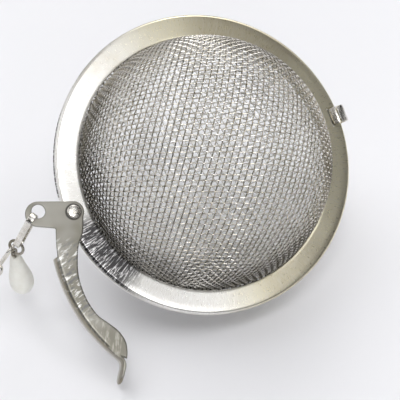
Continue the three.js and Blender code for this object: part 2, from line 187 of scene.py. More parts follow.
def points_of(thing):
    points = np.zeros(len(thing.data.vertices) * 3)
    thing.data.vertices.foreach_get("co", points)
    return points.reshape(-1, 3)


def settle(thing, place, body, material, replaces=(), sharp=35.0, around=False):
    """Keeps the local points for the materials and puts the mesh in the row frame, to ride."""
    local = points_of(thing)
    kept = thing.data.attributes.new("local", "FLOAT_VECTOR", "POINT")
    kept.data.foreach_set("vector", local.astype(np.float32).ravel())
    if around:
        turning = np.stack([-local[:, 1], local[:, 0], 0 * local[:, 2]], -1) @ place.axes
        turning /= np.maximum(np.linalg.norm(turning, axis=1, keepdims=True), 1e-6)
        kept = thing.data.attributes.new("around", "FLOAT_VECTOR", "POINT")
        kept.data.foreach_set("vector", turning.astype(np.float32).ravel())
    thing.data.vertices.foreach_set("co", place.out(local).astype(np.float32).ravel())
    thing.data.shade_smooth()
    if sharp:
        thing.data.set_sharp_from_angle(angle=math.radians(sharp))
    thing.data.materials.clear()
    thing.data.materials.append(material)
    thing.data.update()
    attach(thing, body)
    if replaces:
        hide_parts(*replaces)
    return thing


def arc(cx, cy, radius, start, end, steps):
    angles = np.radians(np.linspace(start, end, steps + 1))
    return [(cx + radius * math.cos(a), cy + radius * math.sin(a)) for a in angles]


def ring_faces(rows, columns, closed_rows, closed_columns):
    """Quads of a grid whose points run row by row."""
    faces = []
    for i in range(rows if closed_rows else rows - 1):
        for j in range(columns if closed_columns else columns - 1):
            a = i * columns + j
            b = i * columns + (j + 1) % columns
            c = (i + 1) % rows * columns + (j + 1) % columns
            d = (i + 1) % rows * columns + j
            faces.append((a, b, c, d))
    return faces


def lathe(name, profile, steps):
    """A closed profile of (radius, height) turned round Z."""
    profile = np.array(profile, float)
    angles = np.linspace(0, 2 * np.pi, steps, endpoint=False)
    points = [(r * math.cos(a), r * math.sin(a), z) for a in angles for r, z in profile]
    return new_object(name, points, ring_faces(steps, len(profile), True, True))


def end_faces(rows, columns):
    """The first and last rows of a grid as faces, which close its open ends."""
    return [tuple(reversed(range(columns))), tuple(range((rows - 1) * columns, rows * columns))]


def block(name, low, high):
    xs, ys, zs = zip(low, high)
    corners = [(x, y, z) for z in zs for y in ys for x in xs]
    faces = [(0, 2, 3, 1), (4, 5, 7, 6), (0, 1, 5, 4), (2, 6, 7, 3), (0, 4, 6, 2), (1, 3, 7, 5)]
    return new_object(name, corners, faces)


def slab(name, outline, low, high):
    """A flat outline with a thickness."""
    count = len(outline)
    points = [(x, y, z) for z in (low, high) for x, y in outline]
    faces = end_faces(2, count)
    faces += [(i, (i + 1) % count, count + (i + 1) % count, count + i) for i in range(count)]
    return new_object(name, points, faces)


def round_bar(name, radius, low, high, x=0.0, y=0.0, steps=48):
    return slab(name, arc(x, y, radius, 0, 360, steps)[:-1], low, high)


# ---- shader helpers --------------------------------------------------------------------


class Nodes:
    """A short way to write a node material."""

    def __init__(self, name):
        self.material = bpy.data.materials.new(name)
        self.material.use_nodes = True
        self.tree = self.material.node_tree
        self.shader = self.tree.nodes["Principled BSDF"]

    def add(self, kind, inputs=None, **settings):
        node = self.tree.nodes.new(kind)
        for key, value in settings.items():
            setattr(node, key, value)
        for key, value in (inputs or {}).items():
            self.set(node.inputs[key], value)
        return node

    def set(self, socket, value):
        if isinstance(value, bpy.types.NodeSocket):
            self.tree.links.new(value, socket)
        else:
            socket.default_value = value

    def math(self, operation, *values):
        node = self.add("ShaderNodeMath", operation=operation)
        for socket, value in zip(node.inputs, values):
            self.set(socket, value)
        return node.outputs[0]

    def vector(self, operation, *values):
        node = self.add("ShaderNodeVectorMath", operation=operation)
        for socket, value in zip(node.inputs, values):
            self.set(socket, value)
        return node.outputs["Value" if operation in ("LENGTH", "DOT_PRODUCT") else "Vector"]

    def local(self):
        return self.add("ShaderNodeAttribute", attribute_name="local").outputs["Vector"]

    def parts(self, vector):
        node = self.add("ShaderNodeSeparateXYZ", {0: vector})
        return node.outputs[0], node.outputs[1], node.outputs[2]

    def joined(self, x, y, z):
        return self.add("ShaderNodeCombineXYZ", {0: x, 1: y, 2: z}).outputs[0]

    def noise(self, vector, scale, detail=3.0, roughness=0.55):
        node = self.add(
            "ShaderNodeTexNoise",
            {"Vector": vector, "Scale": scale, "Detail": detail, "Roughness": roughness},
        )
        return node.outputs["Fac"]

    def fit(self, value, low, high, to_low=0.0, to_high=1.0):
        node = self.add("ShaderNodeMapRange", interpolation_type="SMOOTHSTEP")
        for socket, v in zip(node.inputs, (value, low, high, to_low, to_high)):
            self.set(socket, v)
        return node.outputs[0]

    def mix(self, share, a, b):
        node = self.add("ShaderNodeMix", data_type="RGBA")
        for socket, value in ((node.inputs[0], share), (node.inputs[6], a), (node.inputs[7], b)):
            self.set(socket, (*value, 1) if isinstance(value, tuple) else value)
        return node.outputs[2]

    def turning(self):
        """The direction round the local Z axis, in the world, for brushed metal."""
        around = self.add("ShaderNodeAttribute", attribute_name="around").outputs["Vector"]
        node = self.add("ShaderNodeVectorTransform", {0: around}, vector_type="VECTOR")
        return self.vector("NORMALIZE", node.outputs[0])

    def bump(self, height, strength, distance):
        inputs = {"Strength": strength, "Distance": distance, "Height": height}
        return self.add("ShaderNodeBump", inputs).outputs[0]

    def finish(self, color, roughness, normal=None, **constants):
        self.set(self.shader.inputs["Base Color"], color)
        self.set(self.shader.inputs["Roughness"], roughness)
        if normal:
            self.set(self.shader.inputs["Normal"], normal)
        for key, value in constants.items():
            self.shader.inputs[key.replace("_", " ")].default_value = value
        return self.material


def rim_material():
    """Steel brushed across the rim: streaks run along the radius, with painted light and shade
    round the rim and one stretch marked by rubbing and painted dark.
    """
    n = Nodes("rim_steel_brushed")
    local = n.local()
    x, y, _ = n.parts(local)
    radius = n.vector("LENGTH", n.joined(x, y, 0.0))
    around = n.vector("NORMALIZE", n.joined(x, y, 0.0))
    scaled = n.add("ShaderNodeVectorMath", operation="SCALE")
    n.set(scaled.inputs[0], around)
    n.set(scaled.inputs["Scale"], 28.0)
    outward_part = n.joined(0.0, 0.0, n.math("MULTIPLY", radius, 0.14))
    streak_at = n.vector("ADD", scaled.outputs[0], outward_part)
    fine = n.noise(streak_at, 7.0, 2.0)
    broad = n.noise(streak_at, 3.4, 4.0, 0.7)
    patch = n.noise(local, 0.16, 3.0)
    specks = n.fit(n.noise(local, 3.1, 1.0), 0.74, 0.8)
    facing = n.vector("DOT_PRODUCT", around, RUBBED_PAINTED_DARK_WAY)
    wander = n.math("MULTIPLY", n.math("SUBTRACT", patch, 0.5), 0.06)
    far, near = math.cos(math.radians(21)), math.cos(math.radians(9))
    rubbed_and_painted_dark = n.fit(n.math("ADD", facing, wander), far, near)
    scratches = n.fit(broad, 0.5, 0.6)
    rough_share = n.math("MULTIPLY", broad, n.math("ADD", 0.25, rubbed_and_painted_dark))
    height = n.math("ADD", n.math("MULTIPLY", fine, 0.5), rough_share)
    normal = n.bump(height, 0.22, 0.00014)
    tone_and_painted_light = n.mix(n.fit(patch, 0.4, 0.68), (0.79, 0.775, 0.74), (0.69, 0.655, 0.58))
    # painted light and shade round the rim: each colour is mixed in towards one way round the ball
    for middle_way, low, high, share, painted_tone in (
        (PAINTED_LIGHT_WAY, 0.2, 0.6, 0.85, (0.97, 0.96, 0.935)),
        (WARM_SHADE_WAY, -0.45, 0.2, 0.85, (0.82, 0.755, 0.53)),
        (DARKEST_SHADE_WAY, 0.86, 0.97, 0.7, (0.50, 0.44, 0.30)),
        (DULL_SHADE_WAY, 0.93, 0.99, 0.7, (0.56, 0.51, 0.38)),
    ):
        reach = n.fit(n.vector("DOT_PRODUCT", around, middle_way), low, high)
        tone_and_painted_light = n.mix(n.math("MULTIPLY", reach, share), tone_and_painted_light, painted_tone)
    brushed = n.mix(n.math("MULTIPLY", n.fit(fine, 0.4, 0.65), 0.4), tone_and_painted_light, (0.70, 0.67, 0.61))
    # the stretch marked by rubbing: a painted dark reflection crossed by pale streaks
    streaks_on_painted_dark = n.mix(scratches, (0.05, 0.047, 0.05), (0.86, 0.85, 0.85))
    color = n.mix(n.math("MULTIPLY", rubbed_and_painted_dark, 0.96), brushed, streaks_on_painted_dark)
    color = n.mix(n.math("MULTIPLY", specks, 0.5), color, (0.9, 0.88, 0.84))
    roughness = n.math("ADD", 0.24, n.math("MULTIPLY", fine, 0.1))
    n.set(n.shader.inputs["Tangent"], n.turning())
    return n.finish(color, roughness, normal, Metallic=1.0, Anisotropic=0.6)


def wire_material(name, main_tone, stained, roughness, edge):
    """Drawn steel wire with tea stains; edge says how dark the painted shade on its steep side by
    the rim gets.
    """
    n = Nodes(name)
    local = n.local()
    x, y, _ = n.parts(local)
    flat = n.joined(x, y, 0.0)
    drawn = n.noise(local, 2.4, 2.0)
    grime = n.noise(local, 0.35, 3.0)
    color = n.mix(n.fit(grime, 0.38, 0.66), main_tone, stained)
    # painted shade on the mesh's steep side by the rim
    facing = n.vector("DOT_PRODUCT", n.vector("NORMALIZE", flat), EDGE_SHADE_WAY)
    side = n.fit(facing, -0.3, 0.75, 0.3, 1.0)
    steep = n.fit(n.vector("LENGTH", flat), 20.5, 24.5)
    dark = n.math("MULTIPLY", n.math("MULTIPLY", side, steep), edge)
    color = n.mix(dark, color, (0.045, 0.04, 0.03))
    rough = n.math("ADD", roughness, n.math("MULTIPLY", drawn, 0.12))
    return n.finish(color, rough, n.bump(drawn, 0.25, 0.00004), Metallic=1.0)


def cup_wire_material():
    """The lower cup's wire: dull, painted pale for the lit inside of the ball, and with painted
    shade on the cup's steep side by the lever.
    """
    n = Nodes("mesh_wire_dull_painted_light_and_shade")
    local = n.local()
    x, y, _ = n.parts(local)
    flat = n.joined(x, y, 0.0)
    drawn = n.noise(local, 2.4, 2.0)
    # painted shade on the cup's steep side by the lever
    side = n.fit(n.vector("DOT_PRODUCT", n.vector("NORMALIZE", flat), SHADY_WAY), -0.05, 0.65)
    steep = n.fit(n.vector("LENGTH", flat), 14.5, 20.0)
    # the pale colour is painted light for the lit inside of the ball
    color = n.mix(drawn, (0.96, 0.94, 0.905), (0.88, 0.855, 0.81))
    dark = n.math("MULTIPLY", n.math("MULTIPLY", side, steep), 0.85)
    color = n.mix(dark, color, (0.12, 0.11, 0.09))
    return n.finish(color, 0.34, n.bump(drawn, 0.25, 0.00004), Metallic=0.8)


def lever_material():
    """Tumbled pressed steel: smooth by the rivet, with rubbing strokes across the arm, a painted
    shadow round the rivet and painted reflection on the channel's wall.
    """
    n = Nodes("lever_steel_tumbled")
    local = n.local()
    x, y, z = n.parts(local)
    along = n.math("ADD", n.math("MULTIPLY", x, 0.77), n.math("MULTIPLY", y, 0.64))
    across = n.math("SUBTRACT", n.math("MULTIPLY", y, 0.77), n.math("MULTIPLY", x, 0.64))
    stroke_at = n.joined(n.math("MULTIPLY", along, 0.4), n.math("MULTIPLY", across, 1.35), z)
    strokes = n.noise(stroke_at, 0.95, 3.0, 0.6)
    leaf_at = n.vector("MULTIPLY", local, (1.5, 0.3, 0.3))
    leaf_strokes = n.noise(leaf_at, 1.1, 3.0, 0.6)
    grain = n.noise(local, 8.0, 3.0)
    patch = n.noise(local, 0.22, 1.0)
    arm = n.math("MULTIPLY", n.fit(y, -4.5, -7.5), n.fit(y, -22.0, -17.0))
    leaf = n.fit(y, -17.0, -21.0)
    light = n.math("MULTIPLY", n.fit(strokes, 0.54, 0.63), arm)
    dark = n.math("MULTIPLY", n.fit(strokes, 0.47, 0.38), arm)
    leaf_light = n.math("MULTIPLY", n.fit(leaf_strokes, 0.5, 0.66), leaf)
    base = n.mix(n.fit(patch, 0.3, 0.72), (0.35, 0.338, 0.305), (0.255, 0.243, 0.205))
    color = n.mix(n.math("MULTIPLY", dark, 0.7), base, (0.17, 0.175, 0.19))
    color = n.mix(n.math("MULTIPLY", light, 0.85), color, (0.74, 0.735, 0.72))
    color = n.mix(n.math("MULTIPLY", leaf_light, 0.6), color, (0.56, 0.54, 0.48))
    # painted shadow of the gap under the rivet's head, on the lever's top
    from_rivet = n.vector("LENGTH", n.joined(x, y, 0.0))
    on_top = n.fit(z, LEVER_TOP - 0.4, LEVER_TOP - 0.2)
    ring = n.math("MULTIPLY", n.fit(from_rivet, 1.72, 1.5), on_top)
    color = n.mix(n.math("MULTIPLY", ring, 0.9), color, (0.07, 0.065, 0.06))
    # painted reflection on the channel's wall: dark olive-brown by the bend, lighter lower down
    wall = n.fit(z, LEVER_TOP - 0.1, LEVER_TOP - 0.5)
    wall_painted_reflection = n.mix(n.fit(z, 0.6, -0.8), (0.30, 0.265, 0.195), (0.66, 0.645, 0.60))
    color = n.mix(n.math("MULTIPLY", wall, 0.85), color, wall_painted_reflection)
    roughness = n.math("SUBTRACT", 0.42, n.math("MULTIPLY", light, 0.12))
    stroke_height = n.math("MULTIPLY", strokes, n.math("MULTIPLY", arm, 0.8))
    height = n.math("ADD", stroke_height, n.math("MULTIPLY", grain, 0.12))
    return n.finish(color, roughness, n.bump(height, 0.4, 0.0002), Metallic=1.0)


def bright_material():
    """Plain bright steel with light scuffs."""
    n = Nodes("bright_steel")
    local = n.local()
    scuff = n.noise(n.vector("MULTIPLY", local, (1.0, 1.0, 0.25)), 5.0, 3.0)
    patch = n.noise(local, 0.8, 2.0)
    color = n.mix(n.fit(patch, 0.35, 0.7), (0.80, 0.775, 0.735), (0.66, 0.63, 0.57))
    roughness = n.math("ADD", 0.16, n.math("MULTIPLY", scuff, 0.2))
    return n.finish(color, roughness, n.bump(scuff, 0.3, 0.00008), Metallic=1.0)


def milky_material():
    """Pale, slightly cloudy plastic."""
    n = Nodes("milky_plastic")
    local = n.local()
    cloud = n.noise(local, 0.55, 3.0)
    skin = n.noise(local, 6.0, 2.0)
    color = n.mix(n.fit(cloud, 0.35, 0.7), (0.93, 0.925, 0.865), (0.88, 0.87, 0.80))
    roughness = n.math("ADD", 0.3, n.math("MULTIPLY", skin, 0.15))
    return n.finish(color, roughness, n.bump(skin, 0.2, 0.0001))


RIM_STEEL = rim_material()
# the upper mesh's two families are lit and shaded copies of one steel: run wires painted bright for
# glints, rise wires painted dark for shade
RUN_WIRE_PAINTED_GLINT = wire_material("mesh_wire_run_painted_glint", (0.96, 0.93, 0.885), (0.77, 0.735, 0.655), 0.08, 0.5)
RISE_WIRE_PAINTED_SHADE = wire_material("mesh_wire_rise_painted_shade", (0.46, 0.43, 0.37), (0.33, 0.30, 0.235), 0.12, 0.88)
CUP_WIRE_PAINTED_LIGHT_AND_SHADE = cup_wire_material()
LEVER_STEEL = lever_material()
BRIGHT_STEEL = bright_material()
BROWNED_STEEL = wire_material(
    "ring_steel_browned", (0.42, 0.395, 0.34), (0.24, 0.22, 0.17), 0.22, 0.0
)
MILKY_PLASTIC = milky_material()

# ---- rims ------------------------------------------------------------------------------


def rim_profile():
    """The folded sheet: flat face, hem round the outside, and the return on the mating side."""
    half = RIM_SHEET / 2
    centre = RIM_RADIUS - FOLD_RADIUS
    inside = arc(centre, FOLD_Z, FOLD_RADIUS - RIM_SHEET, 90, -90, 10)
    outside = arc(centre, FOLD_Z, FOLD_RADIUS, -90, 90, 14)
    flat = [(r, RIM_TOP) for r in (28.2, 27.0, 26.0)]
    lip = arc(RIM_INNER_RADIUS + half, RIM_TOP - half, half, 90, 270, 6)
    back = arc(RIM_RETURN_RADIUS + half, RIM_SPLIT + half, half, 90, 270, 6)
    return lip + inside + back + outside + flat


def make_rim(name, place, body, rivet):
    """A rim with the hinge strap's slot and, in the upper one, the rivet's hole."""
    rim = lathe(name, rim_profile(), RIM_STEPS)
    inner, outer, width = HINGE_SLOT
    cutters = [block("slot", (inner, -width / 2, -2), (outer, width / 2, 3))]
    if rivet:
        at = (-RIVET_RADIUS * math.cos(RIVET_TURN), -RIVET_RADIUS * math.sin(RIVET_TURN))
        cutters.append(round_bar("hole", RIVET_HOLE, FOLD_Z, RIM_TOP + 1, *at))
    cut(rim, *cutters)
    settle(rim, place, body, RIM_STEEL, [body.replace("half", "rim")], around=True)


make_rim("rim_of_upper_half", BALL, "upper_half", True)
make_rim("rim_of_lower_half", LOWER, "lower_half", False)

# ---- woven wire domes ------------------------------------------------------------------

MESH_RUN = math.radians(-19.5)  # threads of one family, from the ball's X
MESH_RISE = math.radians(53.6)  # threads of the other
RUN_PITCH = 1.21  # between crossings along a thread of the first family, before the net is drawn
RISE_PITCH = 1.06
TAUT_SHARE = 0.7  # a thread pulls towards this share of its pitch, so the net stays taut
DIAGONAL_PULL = 0.06  # against a thread's pull of 1
DRAPE_STEP = 0.24  # share of the pull that one pass takes up
DRAPE_PASSES = 500
DRAPE_MARGIN = 6  # width of the net past the mesh's edge that still pulls
NET_REACH = 44  # threads each side of the crown
LOWER_MESH_TURN = math.radians(24)
WEAVE_STEPS = 4  # points from one crossing to the next
WEAVE_HEIGHT = 0.97  # of the wire's radius, so that crossing wires just touch
WIRE_SIDES = 5
LINE_STEP = 0.05  # spacing of the dome line's points
LINE_BLUR = 7  # how many points each way its corner is rounded over
FLANGE_SPARE = 8  # length of the dome line past the mesh's edge


def dome_line():
    """Arc length, radius and height down the middle of the mesh, from the crown to its edge."""
    t = np.linspace(np.pi / 2, 0, 400)
    r = DOME_RADIUS * np.cos(t).clip(0) ** (2 / DOME_ROUNDNESS)
    z = FOLD_Z + DOME_RISE * np.sin(t).clip(0) ** (2 / DOME_ROUNDNESS)
    r[0], r[-1] = 0.0, DOME_RADIUS
    flange = np.linspace(DOME_RADIUS + 0.1, MESH_EDGE_RADIUS + FLANGE_SPARE, 120)
    r, z = np.append(r, flange), np.append(z, np.full(len(flange), FOLD_Z))
    s = np.append(0, np.cumsum(np.hypot(np.diff(r), np.diff(z))))
    even = np.arange(0, s[-1], LINE_STEP)
    r, z = np.interp(even, s, r), np.interp(even, s, z)
    window = np.hanning(2 * LINE_BLUR + 1)
    window /= window.sum()
    padded_r = np.pad(r, LINE_BLUR, mode="reflect", reflect_type="odd")
    smooth_r = np.convolve(padded_r, window, "valid")
    smooth_z = np.convolve(np.pad(z, LINE_BLUR, mode="reflect"), window, "valid")
    smooth_z[-LINE_BLUR:] = FOLD_Z
    return even, smooth_r, smooth_z


DOME_S, DOME_R, DOME_Z = dome_line()
EDGE_S = float(np.interp(MESH_EDGE_RADIUS, DOME_R, DOME_S))


def on_dome(flat):
    """Points of the unrolled chart (arc length as the radius) to the dome, with normals."""
    s = np.hypot(flat[..., 0], flat[..., 1])
    safe = np.maximum(s, 1e-9)
    c, d = flat[..., 0] / safe, flat[..., 1] / safe
    r, z = np.interp(s, DOME_S, DOME_R), np.interp(s, DOME_S, DOME_Z)
    ahead, behind = s + 0.1, np.maximum(s - 0.1, 0)
    dr = np.interp(ahead, DOME_S, DOME_R) - np.interp(behind, DOME_S, DOME_R)
    dz = np.interp(ahead, DOME_S, DOME_Z) - np.interp(behind, DOME_S, DOME_Z)
    length = np.maximum(np.hypot(dr, dz), 1e-9)
    dr, dz = dr / length, dz / length
    point = np.stack([r * c, r * d, z], -1)
    down = np.stack([dr * c, dr * d, dz], -1)
    normal = np.stack([-dz * c, -dz * d, dr], -1)
    return point, down, normal


def drape():
    """A net of threads drawn taut over the dome: its crossings, as points of the chart."""
    steps = np.arange(-NET_REACH, NET_REACH + 1)
    i, j = np.meshgrid(steps, steps, indexing="ij")
    run = np.array([math.cos(MESH_RUN), math.sin(MESH_RUN)]) * RUN_PITCH
    rise = np.array([math.cos(MESH_RISE), math.sin(MESH_RISE)]) * RISE_PITCH
    flat = i[..., None] * run + j[..., None] * rise
    size = len(steps)
    links = [  # steps to the next crossing, length and pull
        (1, 0, RUN_PITCH, 1.0),
        (0, 1, RISE_PITCH, 1.0),
        (1, 1, float(np.linalg.norm(run + rise)), DIAGONAL_PULL),
        (1, -1, float(np.linalg.norm(run - rise)), DIAGONAL_PULL),
    ]
    keep = np.hypot(flat[..., 0], flat[..., 1]) < EDGE_S + DRAPE_MARGIN
    for _ in range(DRAPE_PASSES):
        point, down, _ = on_dome(flat)
        push = np.zeros_like(point)
        for a, b, length, pull in links:
            first = (slice(0, size - a), slice(max(0, -b), size - max(0, b)))
            second = (slice(a, size), slice(max(0, b), size + min(0, b)))
            gap = point[second] - point[first]
            long = np.linalg.norm(gap, axis=-1, keepdims=True)
            share = pull * DRAPE_STEP * (long - TAUT_SHARE * length) / np.maximum(long, 1e-6)
            share *= (keep[first] & keep[second])[..., None]
            push[first] += share * gap
            push[second] -= share * gap
        s = np.hypot(flat[..., 0], flat[..., 1])
        safe = np.maximum(s, 1e-9)
        out = flat / safe[..., None]
        side = np.stack([-out[..., 1], out[..., 0]], -1)
        along = (push * down).sum(-1)
        sideways = (push[..., :2] * side).sum(-1)
        stretch = np.where(s > 0.1, s / np.maximum(np.interp(s, DOME_S, DOME_R), 1e-3), 1.0)
        flat = flat + out * along[..., None] + side * (sideways * stretch)[..., None]
    return flat


def thread_points(nodes, phase, sign):
    """One wire's middle line and normals, from its crossings: it waves over and under."""
    count = len(nodes)
    u = np.arange(0, (count - 1) * WEAVE_STEPS + 1) / WEAVE_STEPS
    base = np.clip(u.astype(int), 0, count - 2)
    t = (u - base)[:, None]
    before = nodes[np.maximum(base - 1, 0)]
    a, b = nodes[base], nodes[base + 1]
    after = nodes[np.minimum(base + 2, count - 1)]
    flat = 0.5 * (
        2 * a
        + (b - before) * t
        + (2 * before - 5 * a + 4 * b - after) * t**2
        + (3 * a - before - 3 * b + after) * t**3
    )
    point, _, normal = on_dome(flat)
    wave = sign * WIRE_RADIUS * WEAVE_HEIGHT * np.cos(np.pi * (u + phase))
    inside = np.hypot(flat[:, 0], flat[:, 1]) < EDGE_S
    return (point + normal * wave[:, None])[inside], normal[inside]


def wires(name, threads):
    """All the wires of one family as one mesh of round tubes with closed ends."""
    angles = np.linspace(0, 2 * np.pi, WIRE_SIDES, endpoint=False)
    cosines, sines = np.cos(angles)[None, :, None], np.sin(angles)[None, :, None]
    points, faces = [], []
    total = 0
    for line, normal in threads:
        count = len(line)
        if count < 4:
            continue
        tangent = np.gradient(line, axis=0)
        tangent /= np.linalg.norm(tangent, axis=1, keepdims=True)
        side = np.cross(tangent, normal)
        side /= np.linalg.norm(side, axis=1, keepdims=True)
        up = np.cross(side, tangent)
        section = cosines * up[:, None] + sines * side[:, None]
        points.append((line[:, None] + WIRE_RADIUS * section).reshape(-1, 3))
        grid = total + np.arange(count * WIRE_SIDES).reshape(count, WIRE_SIDES)
        after = np.roll(grid, -1, axis=1)
        quads = np.stack([grid[:-1], after[:-1], after[1:], grid[1:]], -1).reshape(-1, 4)
        faces += quads.tolist()
        faces += [grid[0, ::-1].tolist(), grid[-1].tolist()]
        total += count * WIRE_SIDES
    return new_object(name, np.concatenate(points), faces)


def make_dome(half, place, turn, materials):
    c, s = math.cos(turn), math.sin(turn)
    flat = NET @ np.array([[c, s], [-s, c]])
    run = [thread_points(flat[:, j], j, 1) for j in range(len(flat))]
    rise = [thread_points(flat[i, :], i, -1) for i in range(len(flat))]
    for family, threads, material in zip(("run", "rise"), (run, rise), materials):
        piece = wires(f"wires_{family}_{half}", threads)
        settle(piece, place, half, material, [half.replace("half", "mesh")], 0)


NET = drape()
make_dome("upper_half", BALL, 0.0, (RUN_WIRE_PAINTED_GLINT, RISE_WIRE_PAINTED_SHADE))
make_dome("lower_half", LOWER, LOWER_MESH_TURN, (CUP_WIRE_PAINTED_LIGHT_AND_SHADE, CUP_WIRE_PAINTED_LIGHT_AND_SHADE))

# ---- swept wire and strip --------------------------------------------------------------

LINK_LOOP_RADIUS = 1.05
LINK_STRIP = (1.25, 0.35)  # width, thickness
LINK_LENGTH = 6.2
RING_RADIUS = 1.5
RING_WIRE = 0.28
EYE_RADIUS = 0.68
EYE_WIRE = 0.22
EYE_STEM = 2.4
DROP_RADIUS = 2.6
DROP_LENGTH = 10.0
DROP_TOP = -(EYE_RADIUS + EYE_WIRE - 0.1) - 0.3
DROP_ROWS = 72
DROP_RIBS = (22, 0.09)  # turns of the rippled neck over the drop's length, and their height
DROP_RIBBED_FROM = 0.78  # share of the drop's length
BUTT_GAP = 0.05  # where the ends of a bent wire meet
CHAIN_LINKS = 10
CHAIN_WIRE = 0.3
CHAIN_END_RADIUS = 1.2
CHAIN_STRAIGHT = 4.4
CHAIN_PLAY = 0.2
HOOK_WIRE = 0.5
HOOK_EYE_RADIUS = 1.5
HOOK_SHANK = 9.0
HOOK_BEND_RADIUS = 4.0
HOOK_ALONG = (-0.1735, -0.9839, -0.0432)  # the shank's direction in the row frame
STRAP_RADIUS = 1.6
STRAP_STRIP = (3.4, 0.35)


def length_along(points):
    """How far along a path each of its points is."""
    return np.append(0, np.cumsum(np.linalg.norm(np.diff(points, axis=0), axis=1)))


def unit(vectors):
    return vectors / np.linalg.norm(vectors, axis=1, keepdims=True)


def side_of(ahead):
    """The unit direction to the right of each direction in the plane."""
    ahead = unit(ahead)
    return np.stack([ahead[:, 1], -ahead[:, 0]], -1)


def even_path(points, step, closed):
    """The same path with points at even steps."""
    points = np.array(points, float)
    if closed:
        points = np.vstack([points, points[:1]])
    s = length_along(points)
    count = max(4, int(round(s[-1] / step)))
    at = np.linspace(0, s[-1], count, endpoint=not closed)
    return np.stack([np.interp(at, s, points[:, k]) for k in range(points.shape[1])], -1)


def smooth_path(points, per_span=10):
    """A Catmull-Rom curve through the points."""
    p = np.array(points, float)
    p = np.vstack([2 * p[0] - p[1], p, 2 * p[-1] - p[-2]])
    t = np.linspace(0, 1, per_span, endpoint=False)[:, None]
    out = []
    for a, b, c, d in zip(p[:-3], p[1:-2], p[2:-1], p[3:]):
        square, cube = 2 * a - 5 * b + 4 * c - d, 3 * b - a - 3 * c + d
        out.append(0.5 * (2 * b + (c - a) * t + square * t**2 + cube * t**3))
    out.append(p[-2:-1])
    return np.vstack(out)


def disc(radius, sides):
    return arc(0, 0, radius, 0, 360, sides)[:-1]


def soft_strip(width, thickness, corner, steps=3):
    """A strip's section: thickness across the path, width along Z, and round corners."""
    w, t = width / 2 - corner, thickness / 2 - corner
    section = []
    for cx, cy, start in ((t, w, 0), (-t, w, 90), (-t, -w, 180), (t, -w, 270)):
        section += arc(cx, cy, corner, start, start + 90, steps)
    return section


def swept(name, path, section, closed):
    """A section (out, up) carried along a path in X and Y. An open path gets closed ends."""
    path = np.array(path, float)
    if closed:
        ahead = np.roll(path, -1, axis=0) - np.roll(path, 1, axis=0)
    else:
        ahead = np.gradient(path, axis=0)
    rows, columns = len(path), len(section)
    points = []
    for p, n in zip(path, side_of(ahead)):
        points += [(p[0] + out * n[0], p[1] + out * n[1], up) for out, up in section]
    faces = ring_faces(rows, columns, closed, True)
    if not closed:
        faces += end_faces(rows, columns)
    return new_object(name, points, faces)


def node_points(node):
    mesh = frame["nodes"][node].data
    return np.unique(np.array([v.co for v in mesh.vertices], float).round(7), axis=0)


def thin_way(node):
    """The direction that a flat CAD node is thinnest in."""
    points = node_points(node)
    return np.linalg.svd(points - points.mean(0), full_matrices=False)[2][2]


def middle(node):
    return node_points(node).mean(0)


def hanging(node, joint):
    """A loop's frame: X from its joint through its middle, Z square to its plane."""
    pivot = joint_point(joint)
    return Place(pivot, middle(node) - pivot, thin_way(node))


def stadium(centre, radius, straight, gap=0.0):
    """A loop along X; a gap leaves a butt joint in one straight side."""
    half = straight / 2
    start = (centre - gap / 2, -radius)
    right = arc(centre + half, 0, radius, -90, 90, 18)
    left = arc(centre - half, 0, radius, 90, 270, 18)
    return [(centre + gap / 2, -radius)] + right + left + [start]


def make_chain():
    for i in range(1, CHAIN_LINKS + 1):
        name = f"chain_link_{i}"
        held = RING_WIRE if i == 1 else CHAIN_WIRE
        centre = CHAIN_STRAIGHT / 2 + CHAIN_END_RADIUS - held - CHAIN_PLAY - CHAIN_WIRE
        loop = stadium(centre, CHAIN_END_RADIUS, CHAIN_STRAIGHT, BUTT_GAP)
        piece = swept(f"round_link_{i}", even_path(loop, 0.22, False), disc(CHAIN_WIRE, 14), False)
        place = hanging(name, f"chain_joint_{i}")
        settle(piece, place, name, BRIGHT_STEEL, [name], 50)


def make_hook():
    """The cup hook: an eye, a slightly bowed shank and a bend with a tip turned up."""
    eye_x = HOOK_EYE_RADIUS - CHAIN_WIRE - CHAIN_PLAY - HOOK_WIRE
    end = eye_x + HOOK_EYE_RADIUS + HOOK_SHANK
    points = arc(eye_x, 0, HOOK_EYE_RADIUS, 35, 345, 9)
    points += [(eye_x + HOOK_EYE_RADIUS + 1.6, -0.35)]
    points += [(eye_x + HOOK_EYE_RADIUS + HOOK_SHANK / 2, 0), (end - 1.2, 0)]
    points += arc(end, HOOK_BEND_RADIUS, HOOK_BEND_RADIUS, -80, 95, 7)
    points += [(end - 2.6, 2 * HOOK_BEND_RADIUS - 0.35), (end - 4.4, 2 * HOOK_BEND_RADIUS + 0.4)]
    path = even_path(smooth_path(points), 0.25, False)
    hook = swept("cup_hook", path, disc(HOOK_WIRE, 16), False)
    round_ends(hook, path, HOOK_WIRE, 16)
    up = thin_way("chain_hook")
    place = Place(joint_point("hook_joint"), HOOK_ALONG, up * math.copysign(1, up[2]))
    settle(hook, place, "hook", BRIGHT_STEEL, ["chain_hook"], 60)


def round_ends(thing, path, wire, sides):
    """Draws the first and last few sections of a round bar in to a domed tip."""
    points = points_of(thing).reshape(len(path), sides, 3)
    centre = np.column_stack([path, np.zeros(len(path))])
    s = length_along(path)
    depth = np.minimum(s, s[-1] - s)
    share = np.sqrt(np.clip(1 - (1 - np.clip(depth / wire, 0.02, 1)) ** 2, 0, 1))
    points = centre[:, None] + (points - centre[:, None]) * share[:, None, None]
    thing.data.vertices.foreach_set("co", points.astype(np.float32).ravel())


